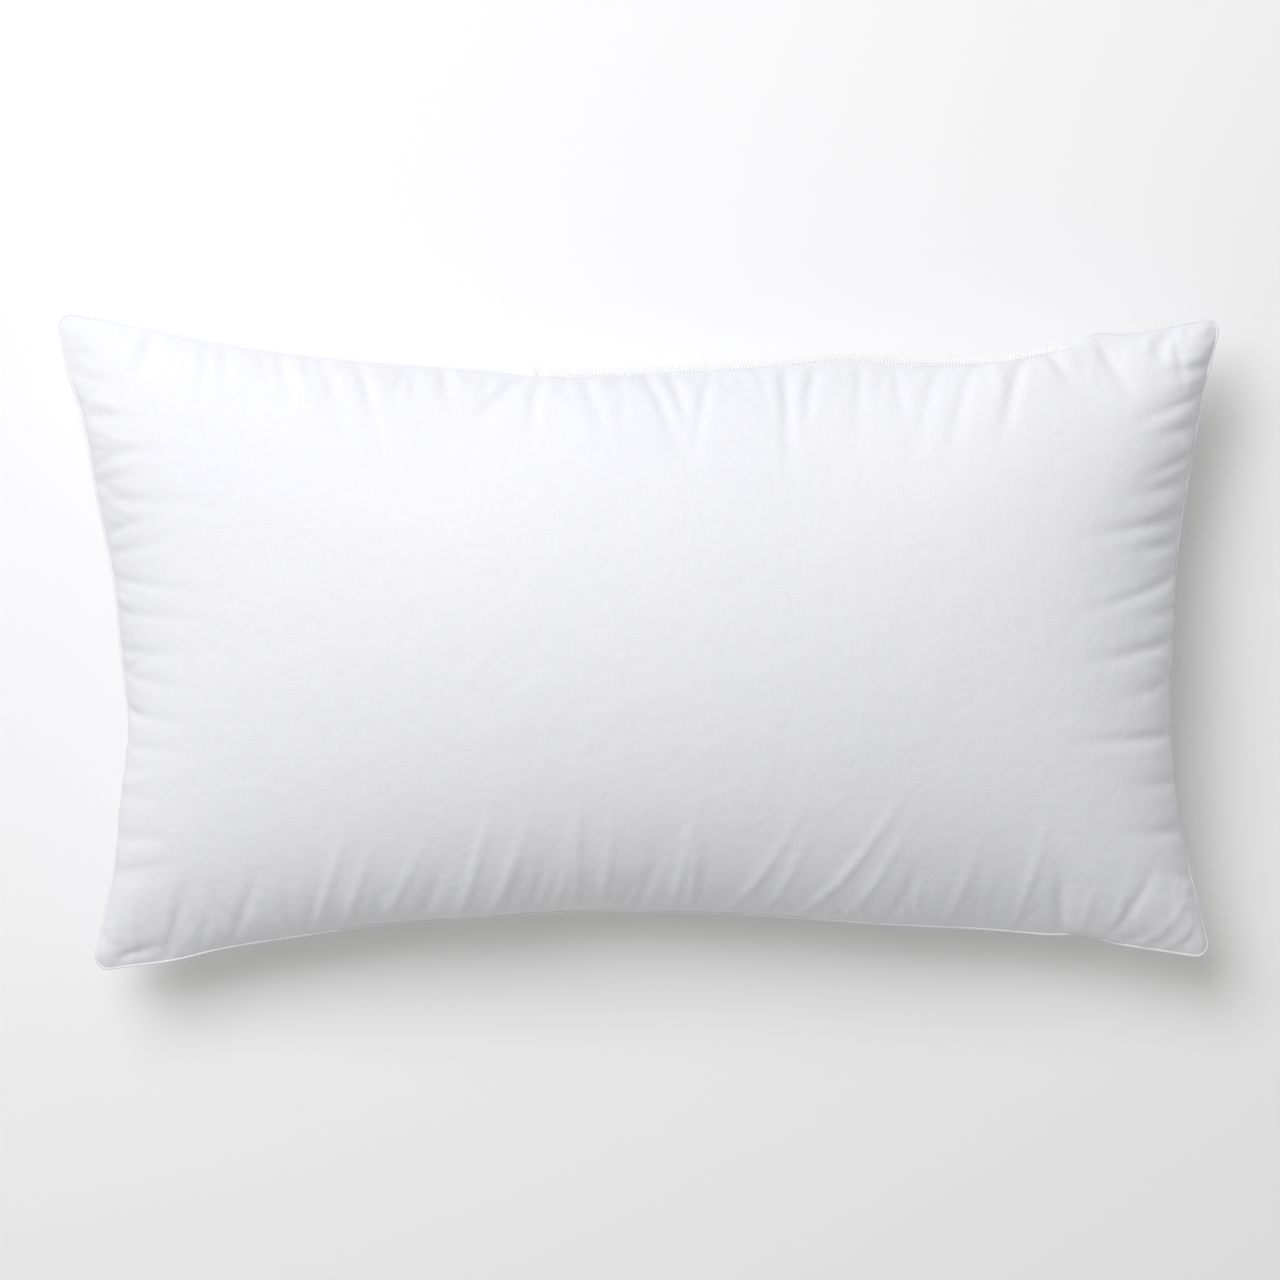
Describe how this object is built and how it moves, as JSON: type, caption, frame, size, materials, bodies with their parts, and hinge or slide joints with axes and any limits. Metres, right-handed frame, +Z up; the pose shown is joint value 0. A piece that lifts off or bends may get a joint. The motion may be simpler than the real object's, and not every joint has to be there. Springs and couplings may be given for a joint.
{
  "type": "bed pillow",
  "caption": "Long rectangular bed pillow with a plump middle, drawn-in sides, a fine corded edge and an overlocked closing seam along one long side.",
  "frame": {"origin": "middle of the pillow's outline, on the floor it lies on", "axes": "+X along the length, +Y across the width towards the side with the closing seam, +Z up through the thickness"},
  "size_m": [0.868, 0.4952, 0.2],
  "materials": {
    "shell_cotton": "matte",
    "filling": "matte",
    "piping_cotton": "matte",
    "piping_cord": "matte",
    "thread": "satin"
  },
  "bodies": {
    "root": {"front_panel": "shell_cotton", "back_panel": "shell_cotton", "loose_filling": "filling", "edge_piping_strip": "piping_cotton", "edge_piping_cord": "piping_cord", "edge_seam_needle_thread": "thread", "edge_seam_bobbin_thread": "thread", "closing_needle_thread": "thread", "closing_upper_looper_thread": "thread", "closing_lower_looper_thread": "thread"}
  },
  "joints": []
}
